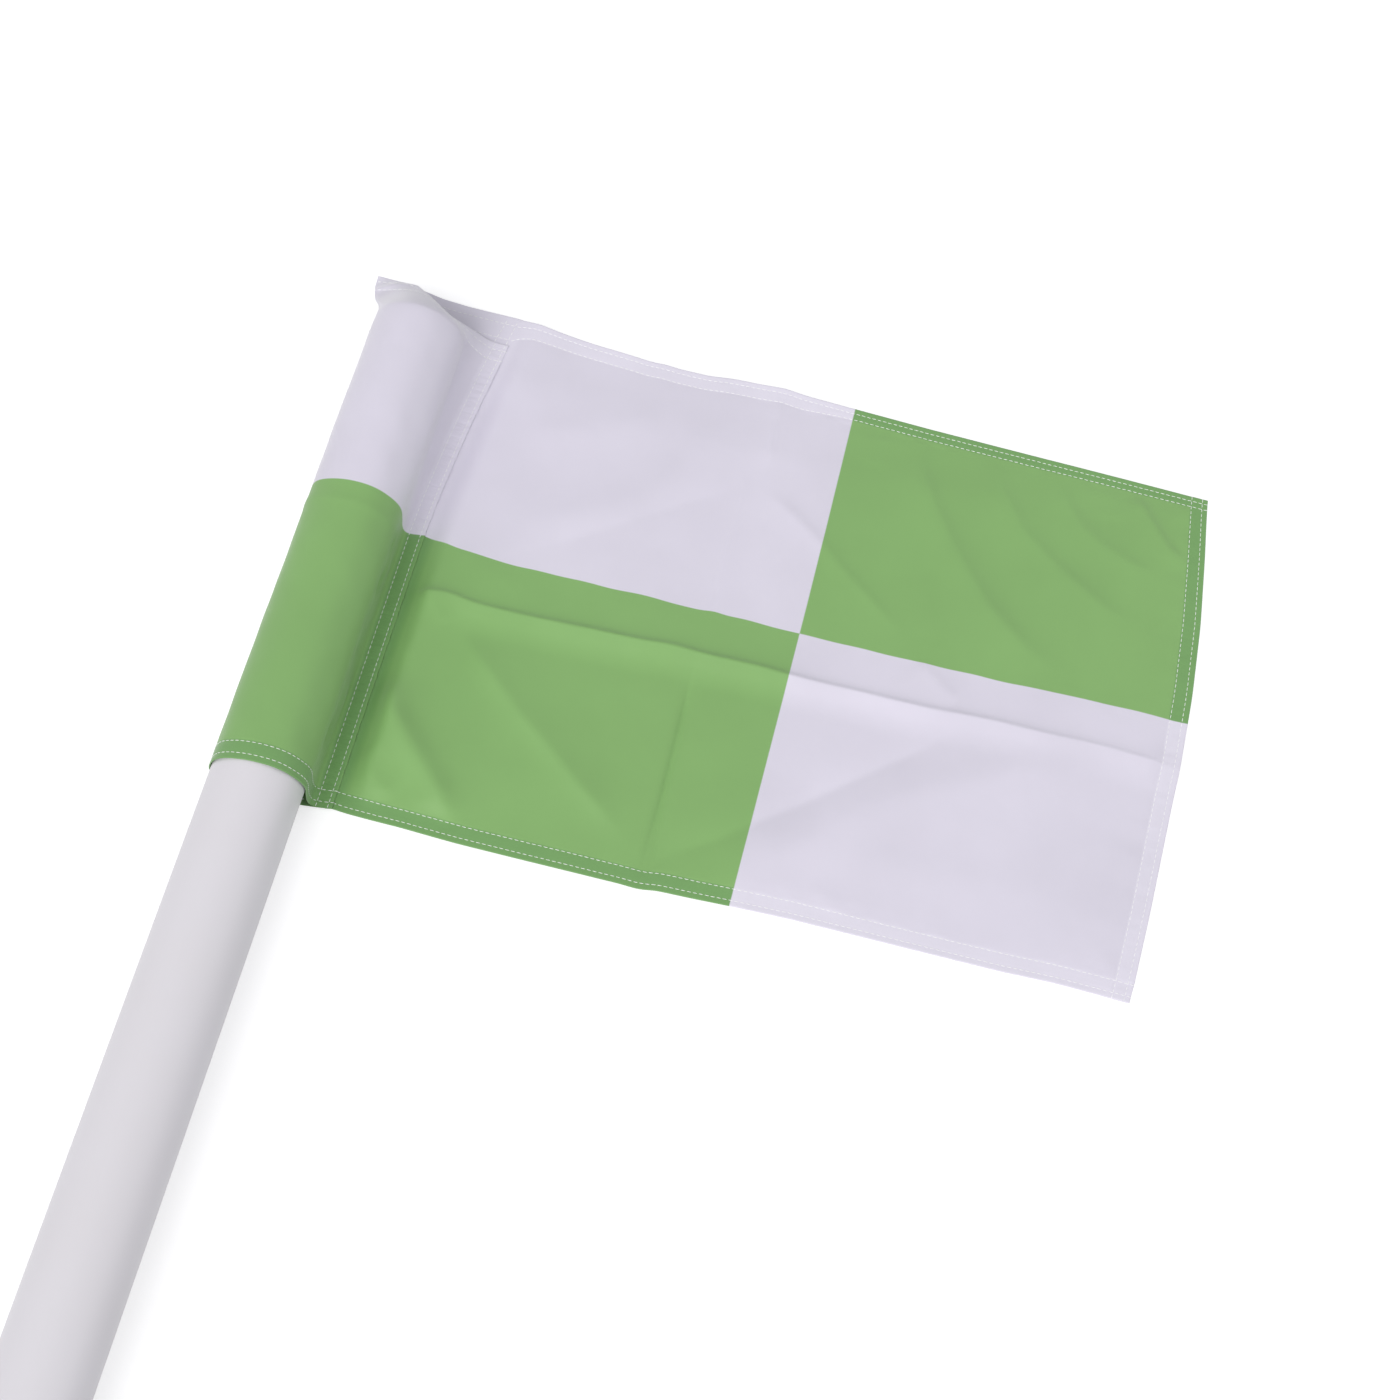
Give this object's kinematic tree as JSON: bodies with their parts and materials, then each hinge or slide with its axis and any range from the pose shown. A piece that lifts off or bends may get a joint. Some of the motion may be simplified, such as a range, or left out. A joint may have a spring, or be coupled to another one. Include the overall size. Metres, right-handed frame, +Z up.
{
  "type": "corner flag",
  "caption": "Corner flag: chequered flag sleeved on a white plastic pole that stands on a coil spring and a steel ground stake, lying with its flag spread.",
  "frame": {"origin": "on the pole's axis at ground level, in the middle of the step plate's underside, where the stake's shaft begins", "axes": "+Y up the pole, +X towards the fly of the flag, +Z up from the floor that the flag lies on"},
  "size_m": [0.5219, 1.9381, 0.0526],
  "materials": {
    "stake_steel": "hot-dip galvanised, matt",
    "plated_fasteners": "zinc plated",
    "spring_steel": "drawn spring wire, zinc plated",
    "plug_plastic": "moulded",
    "pole_plastic": "extruded, satin",
    "cap_plastic": "moulded, satin",
    "flag_cloth": "printed satin polyester"
  },
  "bodies": {
    "stake": {"step_plate": "stake_steel", "stake_shaft": "stake_steel", "stake_tip": "stake_steel", "stake_head": "stake_steel", "lower_stud_nut": "plated_fasteners", "lower_spring_stud": "plated_fasteners", "tilt_spring": "spring_steel"},
    "pole": {"upper_spring_stud": "plated_fasteners", "pole_foot_plug": "plug_plastic", "upper_stud_washer": "plated_fasteners", "upper_stud_nut": "plated_fasteners", "pole_foot_screws": "plated_fasteners", "pole_tube": "pole_plastic", "pole_top_cap": "cap_plastic"},
    "flag": {"flag_sleeve": "flag_cloth", "sleeve_bottom_hem": "flag_cloth", "pocket_top": "flag_cloth", "sleeve_seam": "flag_cloth", "flag_panel": "flag_cloth", "top_hem": "flag_cloth", "bottom_hem": "flag_cloth", "fly_hem": "flag_cloth"}
  },
  "joints": [
    {"name": "pole_tilt", "type": "hinge", "parent": "stake", "child": "pole", "pos_m": [0, 0.08905, 0], "axis": [0, 0, 1], "range_deg": [-90, 90], "stiffness_Nm_per_rad": 12, "deforming": ["tilt_spring"]},
    {"name": "flag_swivel", "type": "hinge", "parent": "pole", "child": "flag", "pos_m": [0, 1.45, 0], "axis": [0, 1, 0], "continuous": true}
  ]
}
